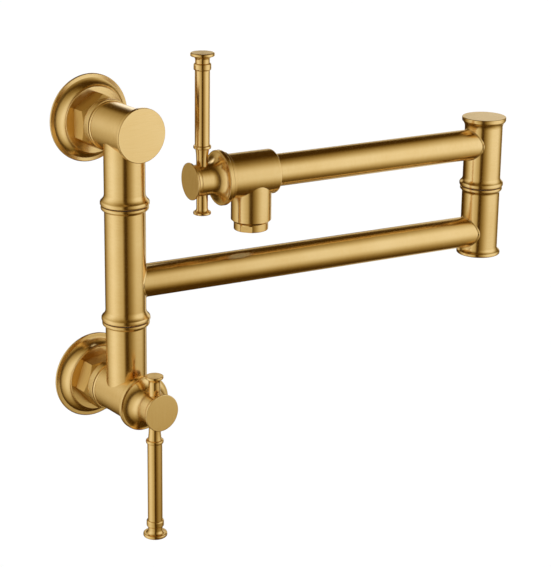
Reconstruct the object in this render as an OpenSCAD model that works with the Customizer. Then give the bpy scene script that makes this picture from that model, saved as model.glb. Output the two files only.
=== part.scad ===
// Wall mounted pot filler with two wall flanges, a turning sleeve on the upright
// column, two stacked arms on an elbow joint, and a quarter turn valve at each end
// of the water path. The wall is the plane Y = 0 and the room is on the -Y side.
// The origin is the middle of the lower wall connection, the water inlet.

/* [Wall connections] */
// Height of the upper wall connection above the lower one
inlet_spacing = 187; // [172:1:240]
// Distance from the wall to the column axis
column_reach = 45.2; // [44.6:0.2:70]
// Diameter of the wall escutcheons
escutcheon_d = 61.4; // [60:0.2:80]
// Height of the raised boss of an escutcheon above the wall
boss_h = 9.5; // [8:0.1:10]
// Diameter of that boss
boss_d = 46.4; // [44:0.2:50]
// Width across flats of the union nuts
nut_af = 34; // [31:0.5:36]
// Length of a union nut
nut_len = 12.2; // [11:0.1:12.6]
// Diameter of the pipe thread that goes into the wall fitting
inlet_thread_d = 20.95; // [20:0.05:21.5]
// Length of the pipe thread behind the wall face
inlet_thread_len = 16; // [10:1:40]
// Diameter of the thread under the union nut
union_thread_d = 26.4; // [25:0.1:26.6]
// Diameter of the water way through a wall nipple
nipple_bore_d = 14; // [10:0.5:15]

/* [Column] */
// Outer diameter of the column tube and of the elbow barrels
tube_d = 28; // [27:0.5:32]
// Diameter of the lips where a swivel joint parts
lip_d = 33.5; // [31.5:0.5:38]
// Height of the straight rim of a lip
lip_h = 2; // [1.6:0.1:3]
// Height of the S curve from the rim of the upper lip of a ring back to the tube
lip_flare_h = 5.8; // [3.6:0.1:7]
// Diameter of the horizontal body barrels
barrel_d = 32; // [31.4:0.2:36]
// Diameter of the collar in front of a union nut
collar_d = 34.6; // [34:0.2:36]
// Width of that collar
collar_t = 6.8; // [4:0.2:7]
// Height of the lower parting line above the lower connection
lower_seam_h = 53.8; // [48:0.2:58]
// Distance of the upper parting line below the upper connection
upper_seam_drop = 51.7; // [46:0.2:58]
// Distance from the wall to the front face of the upper end cap
cap_reach = 67; // [66.4:0.2:84]
// Diameter of the upper end cap
cap_d = 37; // [36:0.5:40]
// Thickness of the rim of the upper end cap
cap_t = 2.8; // [2:0.2:5]

/* [Swivels] */
// Outer diameter of the hollow spindles that the sleeve and elbow turn on
spindle_d = 22; // [21:0.5:22.5]
// Diameter of the water way inside a spindle
spindle_bore_d = 15; // [12:0.5:16]
// Thickness of the O-ring cord
oring_t = 1.9; // [1.6:0.1:2.1]
// Thickness of the slip ring in a parting line
slip_ring_t = 0.5; // [0.4:0.1:1.2]
// Radial play of a turning fit
run_fit = 0.05; // [0.03:0.01:0.1]
// Radial play of a seated fit
seat_fit = 0.02; // [0.01:0.01:0.05]
// Gap between faces that pass each other
face_gap = 0.05; // [0.05:0.05:0.2]

/* [Arms] */
// Outer diameter of the two arm tubes
arm_d = 22.8; // [21:0.2:24]
// Wall of the arm tubes
arm_wall = 1.5; // [1:0.1:2.5]
// Distance from the column axis to the elbow axis
arm1_len = 291; // [270:1:340]
// Distance from the elbow axis to the spout axis
arm2_len = 197.5; // [150:0.5:215]
// Height of the first arm above the lower connection
arm1_h = 80; // [76:0.5:84]
// Height of the second arm above the first
arm_rise = 67.4; // [64:0.2:90]
// Angle of the first arm away from the wall at rest
swing_angle = 8.8; // [0:0.2:30]
// Angle of the second arm out of line with the first at rest
fold_angle = 1.3; // [0:0.1:20]

/* [Elbow] */
// Distance from the first arm down to the foot of the elbow
elbow_foot = 17.7; // [16.5:0.1:26]
// Distance from the second arm up to the top of the elbow
elbow_head = 20.2; // [19.5:0.1:28]
// Height of the parting line above the first arm
elbow_seam_rise = 34.8; // [33:0.2:37]
// Thickness of the elbow top cap
elbow_cap_t = 1.3; // [1.2:0.1:3]
// Diameter of the flared ends of the elbow
elbow_end_d = 32.5; // [31:0.5:36]

/* [Outlet body] */
// Diameter of the outlet body along the second arm
outlet_d = 31.2; // [30.4:0.2:34]
// Distance from the spout axis to the end of the body on the arm side
outlet_back = 16.4; // [15.5:0.1:20]
// Distance from the spout axis to the front end of the body
outlet_front = 22.7; // [22:0.1:27]
// Diameter of the spout
spout_d = 28.2; // [27:0.2:29.6]
// Distance from the second arm axis down to the end of the spout
spout_drop = 34; // [32:0.5:44]
// Diameter of the aerator ring
aerator_d = 24.1; // [23.6:0.1:25]
// Height of the aerator ring below the spout
aerator_h = 5.6; // [4.5:0.1:8]
// Width across the two key flats of the aerator ring
aerator_af = 22.6; // [21.8:0.1:23]

/* [Valves] */
// Distance from the wall to the front end of the lower valve body
valve_reach = 64.3; // [63.8:0.1:80]
// Outer diameter of a valve cartridge
cartridge_d = 18; // [17:0.5:19]
// Diameter of the ceramic discs
disc_d = 13; // [12:0.5:13.5]
// Thickness of a ceramic disc
disc_t = 3; // [2.5:0.1:3.5]
// Diameter of a valve stem
stem_d = 8; // [7:0.5:8.5]
// Number of teeth on the splined end of a valve stem
spline_teeth = 12; // [8:1:16]

/* [Levers] */
// Diameter of the trumpet flange at the back of a lever hub
flange_d = 38.4; // [37:0.2:42]
// Thickness of the rim of that flange
flange_t = 3.2; // [2.4:0.1:4]
// Diameter of the neck of a lever hub
neck_d = 21.8; // [18:0.2:22.4]
// Diameter of the hub cap
hub_cap_d = 25.8; // [24:0.2:28]
// Thickness of the hub cap
hub_cap_t = 3.7; // [3:0.1:5]
// Length of a lever hub from the back of its flange to its face
hub_len = 24.7; // [24.2:0.1:30]
// Distance from the hub face back to the lever axis
lever_setback = 9.5; // [8.8:0.1:10.4]
// Diameter of the turned handles
handle_d = 10.2; // [9:0.1:12]
// Diameter of the beads on the handles
bead_d = 12.2; // [11.4:0.1:14]
// Diameter of a handle where it leaves the hub
handle_neck_d = 8.2; // [7.6:0.1:8.8]
// Height of the first bead above the hub axis
bead_h = 23.3; // [21:0.1:30]
// Length of the upper handle from the hub axis
handle_len_up = 88; // [80:0.5:110]
// Length of the lower handle from the hub axis
handle_len_down = 93.5; // [80:0.5:110]
// Diameter of the round foot of a handle
foot_d = 16.6; // [15:0.1:20]
// Length of the short stubs from the hub axis
stub_len = 24; // [21:0.5:30]
// Diameter of the button on a stub
button_d = 12.3; // [11:0.1:14]

/* [Hidden] */
$fn = 96;

// Finishes
gold = [0.80, 0.64, 0.36];
bare_brass = [0.72, 0.60, 0.35];
rubber = [0.10, 0.10, 0.10];
nylon = [0.16, 0.13, 0.10];
ceramic = [0.93, 0.92, 0.88];
steel = [0.62, 0.63, 0.65];
plastic = [0.90, 0.90, 0.88];

// Radii that many pieces share
tube_r = tube_d / 2;
lip_r = lip_d / 2;
arm_r = arm_d / 2;
spindle_r = spindle_d / 2;
run_r = spindle_r + run_fit;
water_r = spindle_bore_d / 2;
barrel_r = barrel_d / 2;
lip_round = 0.8;
lip_edge = 1.2;
lip_crown = 1.7;
short_lip_r = max(lip_r - 0.5, tube_r + 0.4);
short_rim = 1.3;
elbow_lip_r = max(lip_r - 0.5, tube_r + 0.4);
elbow_short_lip_r = max(lip_r - 1.1, tube_r + 0.3);
edge_round = 0.5;

// Heights along the column
seam_gap = slip_ring_t + face_gap;
slip_ring_setback = 0.8;
upper_seam_h = inlet_spacing - upper_seam_drop;
sleeve_bottom = lower_seam_h + seam_gap / 2;
sleeve_top = upper_seam_h - seam_gap / 2;
lower_lip_top = lower_seam_h - seam_gap / 2;
upper_lip_bottom = upper_seam_h + seam_gap / 2;
short_flare_h = 2.7;
elbow_flare_h = 4.6;
elbow_short_flare_h = 3.4;
elbow_foot_rim = 1.4;
elbow_foot_flare_h = 4.2;
elbow_head_rim = 0.9;
elbow_head_flare_h = 5.6;

// Distances from the wall along a wall connection
nut_back = boss_h;
nut_front = nut_back + nut_len;
nut_lip_t = 1.9;
tail_flange_t = 1.6;
gasket_t = 2;
collar_back = nut_front + 0.3;
collar_front = collar_back + collar_t;
nut_lip_back = nut_front - nut_lip_t;
tail_back = nut_lip_back - 0.05 - tail_flange_t;
gasket_back = tail_back - gasket_t;
nipple_shoulder = 5;
union_r = union_thread_d / 2;
tail_r = 10.6;
body_bore_r = 7.5;
cap_spigot_len = 6;
cap_spigot_wall = 2.5;
cap_spigot_setback = 3.4;
spindle_shoulder = 6;

// Turning gap behind a lever hub and the depth of the valve seats
hub_gap = 0.5;
cartridge_r = cartridge_d / 2;
cartridge_len = 26;
cartridge_head_r = cartridge_r + 2.6;
cartridge_head_t = 4;
cartridge_wall = 2;
seal_t = 1.6;
disc_r = disc_d / 2;
stem_r = stem_d / 2;
stem_flange_t = 2;
stem_flange_r = disc_r - 0.2;
spline_depth = 0.35;
spline_len = 6.2;
stem_o_ring_t = 1.4;
screw_r = 2;
screw_head_r = 3.4;
screw_head_t = 2.2;
lever_h = hub_len - lever_setback;
neck_r = neck_d / 2;
cap_spigot_r = 4.4;
tenon_r = 2.9;
tenon_depth = 4.4;

// Elbow heights
arm2_h = arm1_h + arm_rise;
elbow_bottom = arm1_h - elbow_foot;
elbow_top = arm2_h + elbow_head;
elbow_seam_h = arm1_h + elbow_seam_rise;
elbow_lower_top = elbow_seam_h - seam_gap / 2;
elbow_upper_bottom = elbow_seam_h + seam_gap / 2;
elbow_spindle_bottom = arm1_h + arm_r + 1.5;
elbow_spindle_top = arm2_h - arm_r - 0.8;
elbow_shoulder = elbow_spindle_top - 3.4;
elbow_chamber_r = spindle_r + 1.2;
elbow_end_r = elbow_end_d / 2;
elbow_plug_h = 4;
elbow_spigot_len = 4.9;
elbow_spigot_wall = 2;

// Outlet body
outlet_r = outlet_d / 2;
body_end_round = 1.5;
arm_seat_depth = 8;
spout_r = spout_d / 2;
spout_end = spout_drop;
aerator_r = aerator_d / 2;
aerator_thread_r = 10.6;
aerator_thread_len = 7;
aerator_bore_r = 9;

// ---------------------------------------------------------------- placing

// Local Z runs out from the wall at a given height
module from_wall(h) {
    translate([0, 0, h]) rotate([90, 0, 0]) children();
}

// Local Z is the column axis
module at_column() {
    translate([0, -column_reach, 0]) children();
}

// Local X runs along the first arm from the column axis
module along_arm1() {
    at_column() rotate([0, 0, -swing_angle]) children();
}

// Local Z is the elbow axis
module at_elbow() {
    along_arm1() translate([arm1_len, 0, 0]) children();
}

// Local X runs along the second arm from the elbow axis
module along_arm2() {
    at_elbow() rotate([0, 0, 180 + fold_angle]) children();
}

// Local Z is the spout axis, at the height of the second arm
module at_spout() {
    along_arm2() translate([arm2_len, 0, arm2_h]) children();
}

// Local Z runs along the second arm towards the outlet hub, from the body front
module at_outlet_valve() {
    along_arm2() translate([arm2_len + outlet_front, 0, arm2_h]) rotate([0, 90, 0]) children();
}

// Local Z runs out of the front end of the lower valve body
module at_lower_valve() {
    from_wall(0) translate([0, 0, valve_reach]) children();
}

// ---------------------------------------------------------------- shapes

// A disc profile of radius r and height h with both outer edges rounded by e
module band_profile(r, h, e) {
    square([r - e, h]);
    translate([0, e]) square([r, h - 2 * e]);
    translate([r - e, e]) circle(r = e);
    translate([r - e, h - e]) circle(r = e);
}

// A solid profile that flares from radius r1 at height h out to radius r0 at 0
module flare_profile(r0, r1, h) {
    w = r0 - r1;
    sweep_r = (w * w + h * h) / (2 * w);
    difference() {
        square([r0, h]);
        translate([r1 + sweep_r, h]) circle(r = sweep_r);
    }
}

// Flared end of a tube, from its end face up: a rim with a rounded edge, then a
// smooth S curve back to the tube, an outward arc and an inward arc that meet in line
module lip_end(r, lip, rim, flare, edge = lip_round) {
    step = lip - r;
    sweep_h = max(flare, step + 0.2);
    arcs = (step * step + sweep_h * sweep_h) / (2 * step);
    sweep_r = arcs - lip_crown;
    meet_r = lip - lip_crown + (arcs - step) * lip_crown / arcs;
    rotate_extrude() {
        square([lip - edge, rim]);
        translate([0, edge]) square([lip, rim - edge]);
        translate([lip - edge, edge]) circle(r = edge);
        translate([0, rim]) difference() {
            square([meet_r, sweep_h]);
            translate([r + sweep_r, sweep_h]) circle(r = sweep_r);
        }
        translate([0, rim]) intersection() {
            square([lip, sweep_h * lip_crown / arcs]);
            translate([lip - lip_crown, 0]) circle(r = lip_crown);
        }
    }
}

// Profile of a round cap with a square back edge and a front edge rounded by e
module cap_profile(r, h, e) {
    square([r, h - e]);
    square([r - e, h]);
    translate([r - e, h - e]) circle(r = e);
}

// A ring of rectangular section
module ring(r_out, r_in, h) {
    difference() {
        cylinder(r = r_out, h = h);
        translate([0, 0, -1]) cylinder(r = r_in, h = h + 2);
    }
}

// An O-ring that lies in a groove and just clears the bore around it
module o_ring(r_bore, t) {
    rotate_extrude() translate([r_bore - t / 2 - 0.01, 0]) circle(r = t / 2, $fn = 48);
}

// The groove for an O-ring, cut from the outside of a spindle
module o_ring_groove(r_bore, t) {
    translate([0, 0, -0.6 * t]) difference() {
        cylinder(r = r_bore + 1, h = 1.2 * t);
        translate([0, 0, -1]) cylinder(r = r_bore - t - 0.05, h = 1.2 * t + 2);
    }
}

// ---------------------------------------------------------------- wall connections

// Threaded nipple: pipe thread into the wall, larger thread for the union nut
module wall_nipple(h) {
    color(bare_brass) from_wall(h) difference() {
        union() {
            translate([0, 0, -inlet_thread_len]) rotate_extrude() {
                square([inlet_thread_d / 2 - 1, inlet_thread_len + nipple_shoulder]);
                translate([0, 1]) square([inlet_thread_d / 2, inlet_thread_len + nipple_shoulder - 1]);
                translate([inlet_thread_d / 2 - 1, 1]) circle(r = 1);
            }
            translate([0, 0, nipple_shoulder]) cylinder(r = union_r, h = gasket_back - nipple_shoulder);
        }
        translate([0, 0, -inlet_thread_len - 1])
            cylinder(r = nipple_bore_d / 2, h = inlet_thread_len + gasket_back + 2);
    }
}

// Escutcheon: thin rim, concave sweep up to a flat boss that the nut bears on
module escutcheon(h) {
    rim_t = 1.7;
    rim_r = escutcheon_d / 2;
    boss_r = boss_d / 2;
    wall_t = 2;
    sweep_w = rim_r - 2.8 - boss_r;
    sweep_h = boss_h - rim_t - edge_round;
    sweep_r = (sweep_w * sweep_w + sweep_h * sweep_h) / (2 * sweep_w);
    color(gold) from_wall(h) difference() {
        rotate_extrude() {
            band_profile(rim_r, rim_t, 0.7);
            difference() {
                translate([0, rim_t - edge_round]) square([boss_r + sweep_w, sweep_h + edge_round]);
                translate([boss_r + sweep_r, boss_h - edge_round]) circle(r = sweep_r);
            }
            translate([0, boss_h - 1.4]) band_profile(boss_r, 1.4, 0.4);
        }
        translate([0, 0, -1]) cylinder(r = union_r + 0.3, h = boss_h + 2);
        translate([0, 0, -1]) cylinder(r = boss_r - wall_t, h = boss_h - wall_t + 1);
    }
}

// Union nut: hexagon with chamfered corners, a thread and a lip that holds the tail
module union_nut(h, turn) {
    corner_r = nut_af / sqrt(3);
    front_r = nut_af / 2 - 0.5;
    front_chamfer = 2;
    back_chamfer = 0.6;
    color(gold) from_wall(h) translate([0, 0, nut_back]) difference() {
        intersection() {
            rotate([0, 0, 30 + turn]) cylinder(r = corner_r, h = nut_len, $fn = 6);
            rotate_extrude() polygon([
                [0, 0], [corner_r - 2 * back_chamfer, 0], [corner_r, back_chamfer],
                [corner_r, nut_len - front_chamfer], [front_r, nut_len], [0, nut_len]
            ]);
        }
        translate([0, 0, -1]) cylinder(r = union_r + seat_fit, h = nut_len - nut_lip_t + 1);
        cylinder(r = tail_r + 0.1, h = nut_len + 1);
    }
}

// Flat gasket between the nipple and the tail of the body
module union_gasket(h) {
    color(rubber) from_wall(h) translate([0, 0, gasket_back])
        ring(union_r - 0.4, nipple_bore_d / 2 + 0.5, gasket_t);
}

// Tail, collar and barrel that both column bodies share, out to a given length
module body_barrel(reach) {
    translate([0, 0, tail_back]) cylinder(r = union_r - 0.3, h = tail_flange_t);
    translate([0, 0, tail_back]) cylinder(r = tail_r, h = collar_back - tail_back + 0.1);
    translate([0, 0, collar_back]) rotate_extrude() {
        band_profile(collar_d / 2, collar_t - 1.2, 0.4);
        translate([0, collar_t - 1.7]) flare_profile(collar_d / 2 - 0.2, barrel_r, 1.7);
    }
    translate([0, 0, collar_back]) rotate_extrude() band_profile(barrel_r, reach - collar_back, edge_round);
}

// ---------------------------------------------------------------- fixed bodies

// Lower body: collar and barrel with the valve chamber, and the tube up to the column
module lower_valve_body() {
    color(gold) difference() {
        union() {
            from_wall(0) body_barrel(valve_reach);
            at_column() cylinder(r = tube_r, h = lower_lip_top - 1);
            at_column() translate([0, 0, lower_lip_top]) mirror([0, 0, 1])
                lip_end(tube_r, short_lip_r, short_rim, short_flare_h);
        }
        from_wall(0) translate([0, 0, tail_back - 1])
            cylinder(r = body_bore_r, h = valve_reach - cartridge_len - tail_back + 1);
        valve_chamber_lower();
        at_column() translate([0, 0, spindle_floor()])
            cylinder(r = spindle_r + seat_fit, h = lower_lip_top - spindle_floor() + 1);
        at_column() cylinder(r = water_r, h = spindle_floor() + 1);
    }
}

// Height of the shoulder that the column spindle stands on
function spindle_floor() = barrel_r + spindle_shoulder;

// The bored seats for a cartridge, measured back from the front of its body
module valve_chamber() {
    translate([0, 0, -cartridge_len]) cylinder(r = cartridge_r + seat_fit, h = cartridge_len + 1);
    translate([0, 0, -cartridge_head_t - 0.5]) cylinder(r = cartridge_head_r + seat_fit, h = cartridge_head_t + 2);
}

module valve_chamber_lower() {
    at_lower_valve() valve_chamber();
}

// Upper body: collar and barrel, and the tube down to the column sleeve
module upper_column_body() {
    barrel_len = cap_reach - cap_t;
    color(gold) difference() {
        union() {
            from_wall(inlet_spacing) body_barrel(barrel_len);
            at_column() translate([0, 0, upper_lip_bottom + 1])
                cylinder(r = tube_r, h = inlet_spacing - upper_lip_bottom - 1);
            at_column() translate([0, 0, upper_lip_bottom])
                lip_end(tube_r, lip_r, lip_h, lip_flare_h, lip_edge);
        }
        from_wall(inlet_spacing) translate([0, 0, tail_back - 1])
            cylinder(r = body_bore_r, h = barrel_len - tail_back + 1);
        from_wall(inlet_spacing) translate([0, 0, barrel_len - cap_spigot_len])
            cylinder(r = cap_spigot_out_r() + seat_fit, h = cap_spigot_len + 1);
        at_column() translate([0, 0, upper_lip_bottom - 1])
            cylinder(r = spindle_r + seat_fit, h = spindle_top() + 0.2 - upper_lip_bottom + 1);
        at_column() translate([0, 0, spindle_top()])
            cylinder(r = water_r, h = inlet_spacing - spindle_top());
    }
}

function cap_spigot_out_r() = barrel_r - cap_spigot_setback;

// Height at which the column spindle ends inside the upper body
function spindle_top() = inlet_spacing - barrel_r - spindle_shoulder;

// Round cap with a screwed spigot that closes the front of the upper body
module upper_end_cap() {
    color(gold) from_wall(inlet_spacing) translate([0, 0, cap_reach - cap_t]) {
        rotate_extrude() band_profile(cap_d / 2, cap_t, edge_round);
        translate([0, 0, -cap_spigot_len + 0.3])
            ring(cap_spigot_out_r(), cap_spigot_out_r() - cap_spigot_wall, cap_spigot_len);
    }
}

// Hollow spindle that ties the two bodies together inside the turning sleeve.
// Four ports feed the first arm, and two O-rings on each side seal the sleeve.
module column_spindle() {
    color(bare_brass) at_column() difference() {
        translate([0, 0, spindle_floor()]) cylinder(r = spindle_r, h = spindle_top() - spindle_floor());
        translate([0, 0, spindle_floor() - 1]) cylinder(r = water_r, h = spindle_top() - spindle_floor() - 2);
        for (turn = [0, 90])
            translate([0, 0, arm1_h]) rotate([90, 0, turn])
                cylinder(r = 5.5, h = spindle_d + 4, center = true);
        for (h = column_o_ring_heights()) translate([0, 0, h]) o_ring_groove(run_r, oring_t);
        translate([0, 0, arm1_h - 8]) difference() {
            cylinder(r = spindle_r + 1, h = 16);
            cylinder(r = spindle_r - 1, h = 16);
        }
    }
}

// Heights of the four O-rings, two below and two above the first arm
function column_o_ring_heights() = [
    sleeve_bottom + 6, sleeve_bottom + 11, sleeve_top - 11, sleeve_top - 6
];

module column_o_rings() {
    color(rubber) at_column()
        for (h = column_o_ring_heights()) translate([0, 0, h]) o_ring(run_r, oring_t);
}

// Nylon slip rings in the two parting lines
module column_slip_rings() {
    color(nylon) at_column() for (h = [lower_lip_top, upper_lip_bottom - slip_ring_t])
        translate([0, 0, h]) ring(short_lip_r - slip_ring_setback, spindle_r + 0.1, slip_ring_t);
}

// ---------------------------------------------------------------- first arm

// Sleeve that turns on the column spindle and carries the first arm
module column_sleeve() {
    color(gold) at_column() difference() {
        union() {
            translate([0, 0, sleeve_bottom + 1]) cylinder(r = tube_r, h = sleeve_top - sleeve_bottom - 2);
            translate([0, 0, sleeve_bottom]) lip_end(tube_r, lip_r, lip_h, lip_flare_h, lip_edge);
            translate([0, 0, sleeve_top]) mirror([0, 0, 1]) lip_end(tube_r, short_lip_r, short_rim, short_flare_h);
        }
        translate([0, 0, sleeve_bottom - 1]) cylinder(r = run_r, h = sleeve_top - sleeve_bottom + 2);
        rotate([0, 0, -swing_angle]) translate([0, 0, arm1_h]) rotate([0, 90, 0])
            cylinder(r = arm_r - arm_wall - 1, h = tube_r + 2);
    }
}

// First arm: a straight tube coped to the sleeve and to the lower elbow barrel
module first_arm_tube() {
    color(gold) along_arm1() difference() {
        translate([0, 0, arm1_h]) rotate([0, 90, 0]) difference() {
            cylinder(r = arm_r, h = arm1_len);
            translate([0, 0, -1]) cylinder(r = arm_r - arm_wall, h = arm1_len + 2);
        }
        translate([0, 0, arm1_h - arm_d]) cylinder(r = tube_r + seat_fit, h = 2 * arm_d);
        translate([arm1_len, 0, arm1_h - arm_d]) cylinder(r = tube_r + seat_fit, h = 2 * arm_d);
    }
}

// Lower elbow barrel: carries the first arm and holds the elbow spindle
module elbow_lower_barrel() {
    color(gold) at_elbow() difference() {
        union() {
            translate([0, 0, elbow_bottom + 1]) cylinder(r = tube_r, h = elbow_lower_top - elbow_bottom - 2);
            translate([0, 0, elbow_bottom]) lip_end(tube_r, elbow_end_r, elbow_foot_rim, elbow_foot_flare_h);
            translate([0, 0, elbow_lower_top]) mirror([0, 0, 1])
                lip_end(tube_r, elbow_short_lip_r, short_rim, elbow_short_flare_h);
        }
        translate([0, 0, elbow_bottom - 1]) cylinder(r = spindle_r + seat_fit, h = elbow_lower_top - elbow_bottom + 2);
        translate([0, 0, arm1_h]) rotate([0, -90, 0]) cylinder(r = arm_r - arm_wall - 1, h = tube_r + 2);
    }
}

// Screwed plug with a hexagon socket that closes the foot of the elbow
module elbow_bottom_plug() {
    color(gold) at_elbow() translate([0, 0, elbow_bottom]) difference() {
        cylinder(r = spindle_r, h = elbow_plug_h);
        translate([0, 0, -1]) cylinder(r = 4.6, h = 3.2, $fn = 6);
    }
}

// Hollow spindle fixed in the lower barrel, on which the upper barrel turns
module elbow_spindle() {
    color(bare_brass) at_elbow() difference() {
        translate([0, 0, elbow_spindle_bottom])
            cylinder(r = spindle_r, h = elbow_spindle_top - elbow_spindle_bottom);
        translate([0, 0, elbow_spindle_bottom - 1])
            cylinder(r = water_r, h = elbow_spindle_top - elbow_spindle_bottom + 2);
        for (h = elbow_o_ring_heights()) translate([0, 0, h]) o_ring_groove(run_r, oring_t);
        translate([0, 0, elbow_shoulder + 0.2]) ring(spindle_r + 1, spindle_r - 1, 4);
    }
}

function elbow_o_ring_heights() = [elbow_upper_bottom + 5, elbow_upper_bottom + 10];

module elbow_o_rings() {
    color(rubber) at_elbow()
        for (h = elbow_o_ring_heights()) translate([0, 0, h]) o_ring(run_r, oring_t);
}

module elbow_slip_ring() {
    color(nylon) at_elbow() translate([0, 0, elbow_lower_top])
        ring(elbow_short_lip_r - slip_ring_setback, spindle_r + 0.1, slip_ring_t);
}

// Nut on the end of the spindle that keeps the upper barrel from lifting off
module elbow_retaining_nut() {
    color(bare_brass) at_elbow() translate([0, 0, elbow_shoulder + 0.2]) difference() {
        cylinder(r = elbow_chamber_r - 0.2, h = 3);
        translate([0, 0, -1]) cylinder(r = spindle_r - 1 + seat_fit, h = 5);
        for (turn = [0, 90]) rotate([0, 0, turn]) translate([0, 0, 3])
            cube([2 * elbow_chamber_r, 2.4, 2.4], center = true);
    }
}

// ---------------------------------------------------------------- second arm

// Upper elbow barrel: turns on the spindle and carries the second arm
module elbow_upper_barrel() {
    cap_seat = elbow_top - elbow_cap_t;
    color(gold) at_elbow() difference() {
        union() {
            translate([0, 0, elbow_upper_bottom + 1]) cylinder(r = tube_r, h = cap_seat - elbow_upper_bottom - 2);
            translate([0, 0, elbow_upper_bottom]) lip_end(tube_r, elbow_lip_r, lip_h, elbow_flare_h, lip_edge);
            translate([0, 0, cap_seat]) mirror([0, 0, 1])
                lip_end(tube_r, elbow_end_r, elbow_head_rim, elbow_head_flare_h, 0.15);
        }
        translate([0, 0, elbow_upper_bottom - 1]) cylinder(r = run_r, h = elbow_top - elbow_upper_bottom);
        translate([0, 0, elbow_shoulder]) cylinder(r = elbow_chamber_r, h = elbow_top - elbow_shoulder);
        rotate([0, 0, 180 + fold_angle]) translate([0, 0, arm2_h]) rotate([0, 90, 0])
            cylinder(r = arm_r - arm_wall - 1, h = tube_r + 2);
    }
}

// Flat cap with a spigot that closes the top of the elbow
module elbow_top_cap() {
    color(gold) at_elbow() translate([0, 0, elbow_top - elbow_cap_t]) {
        rotate_extrude() cap_profile(elbow_end_r, elbow_cap_t, 0.6);
        translate([0, 0, -elbow_spigot_len])
            ring(elbow_chamber_r - seat_fit, elbow_chamber_r - elbow_spigot_wall, elbow_spigot_len + 0.1);
    }
}

// Second arm: a straight tube coped to the upper barrel and seated in the outlet body
module second_arm_tube() {
    tube_end = arm2_len - outlet_back + arm_seat_depth;
    color(gold) along_arm2() difference() {
        translate([0, 0, arm2_h]) rotate([0, 90, 0]) difference() {
            cylinder(r = arm_r, h = tube_end);
            translate([0, 0, -1]) cylinder(r = arm_r - arm_wall, h = tube_end + 2);
        }
        translate([0, 0, arm2_h - arm_d]) cylinder(r = tube_r + seat_fit, h = 2 * arm_d);
    }
}

// Outlet body: valve chamber in line with the arm, spout below it
module outlet_body() {
    body_len = outlet_back + outlet_front;
    color(gold) difference() {
        union() {
            at_outlet_valve() translate([0, 0, -body_len]) rotate_extrude()
                band_profile(outlet_r, body_len, body_end_round);
            at_outlet_valve() translate([0, 0, -2.4]) rotate_extrude() band_profile(outlet_r + 2, 2.4, 0.4);
            at_spout() translate([0, 0, -spout_end]) rotate_extrude() spout_profile();
        }
        at_outlet_valve() valve_chamber();
        at_outlet_valve() translate([0, 0, -body_len - 1]) cylinder(r = arm_r + seat_fit, h = arm_seat_depth + 1);
        at_outlet_valve() translate([0, 0, -body_len]) cylinder(r = body_bore_r - 1.5, h = body_len - cartridge_len + 1);
        at_spout() translate([0, 0, -spout_end - 1]) cylinder(r = aerator_thread_r + seat_fit, h = aerator_thread_len + 3);
        at_spout() translate([0, 0, -spout_end]) cylinder(r = 6.5, h = spout_end);
    }
}

// Spout profile from its end up: a chamfered rim and a straight wall
module spout_profile() {
    chamfer = 1.6;
    rim_w = spout_r - chamfer;
    translate([0, chamfer]) square([spout_r, spout_end - chamfer - 0.3 * outlet_r]);
    square([rim_w, chamfer + 1]);
    polygon([[rim_w, 0], [spout_r, chamfer + 0.2], [spout_r, chamfer + 1], [rim_w, chamfer + 1]]);
}

// Aerator ring: threaded into the spout, with two flats for a key
module aerator_ring() {
    flat_h = 0.8 * aerator_h;
    color(gold) at_spout() translate([0, 0, -spout_end - aerator_h]) difference() {
        union() {
            rotate_extrude() band_profile(aerator_r, aerator_h - 0.02, edge_round);
            cylinder(r = aerator_thread_r, h = aerator_h + aerator_thread_len - 1);
        }
        translate([0, 0, -1]) cylinder(r = aerator_bore_r, h = aerator_h + aerator_thread_len + 2);
        rotate([0, 0, 45]) for (side = [-1, 1])
            translate([side * (aerator_af / 2 + 5), 0, flat_h / 2 - 0.5])
                cube([10, 2 * aerator_r, flat_h + 1], center = true);
    }
}

// Washer between the aerator and the seat in the spout
module aerator_washer() {
    color(rubber) at_spout() translate([0, 0, -spout_end + aerator_thread_len - 1])
        ring(aerator_thread_r - 0.1, aerator_bore_r - 1, 2);
}

// Honeycomb insert that breaks the stream
module aerator_insert() {
    pitch = 2.9;
    hole_r = 1.05;
    color(plastic) at_spout() translate([0, 0, -spout_end - aerator_h + 1.4]) difference() {
        union() {
            cylinder(r = aerator_bore_r - seat_fit, h = 2);
            ring(aerator_bore_r - seat_fit, aerator_bore_r - 1.4, 9);
        }
        for (i = [-3:3], j = [-3:3]) {
            x = pitch * (i + j / 2);
            y = pitch * j * sqrt(3) / 2;
            if (x * x + y * y < pow(aerator_bore_r - 2.2, 2))
                translate([x, y, -1]) cylinder(r = hole_r, h = 4, $fn = 24);
        }
    }
}

// ---------------------------------------------------------------- valves

// Cartridge housing, measured from the front of the body that it sits in:
// discs at the back, a guide bore for the stem, and a screwed head in front
module cartridge() {
    color(bare_brass) translate([0, 0, -cartridge_len + seal_t]) difference() {
        union() {
            cylinder(r = cartridge_r, h = cartridge_len - seal_t);
            translate([0, 0, cartridge_len - seal_t - cartridge_head_t - 0.4])
                cylinder(r = cartridge_head_r, h = cartridge_head_t);
        }
        translate([0, 0, -1]) cylinder(r = disc_r + run_fit, h = 1 + stem_pocket());
        translate([0, 0, -1]) cylinder(r = stem_r + run_fit, h = cartridge_len + 2);
        for (turn = [0, 180]) rotate([0, 0, turn + 90])
            translate([0, 0, stem_pocket() - stem_flange_t - disc_t / 2])
                rotate([0, 90, 0]) cylinder(r = 1.2, h = cartridge_r + 2);
        translate([0, 0, cartridge_len - seal_t - 6.5])
            cylinder(r = stem_r + run_fit + stem_o_ring_t - 0.05, h = 2);
    }
}

// Depth of the pocket that holds both discs and the stem flange
function stem_pocket() = 2 * disc_t + stem_flange_t + 3 * face_gap;

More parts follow.
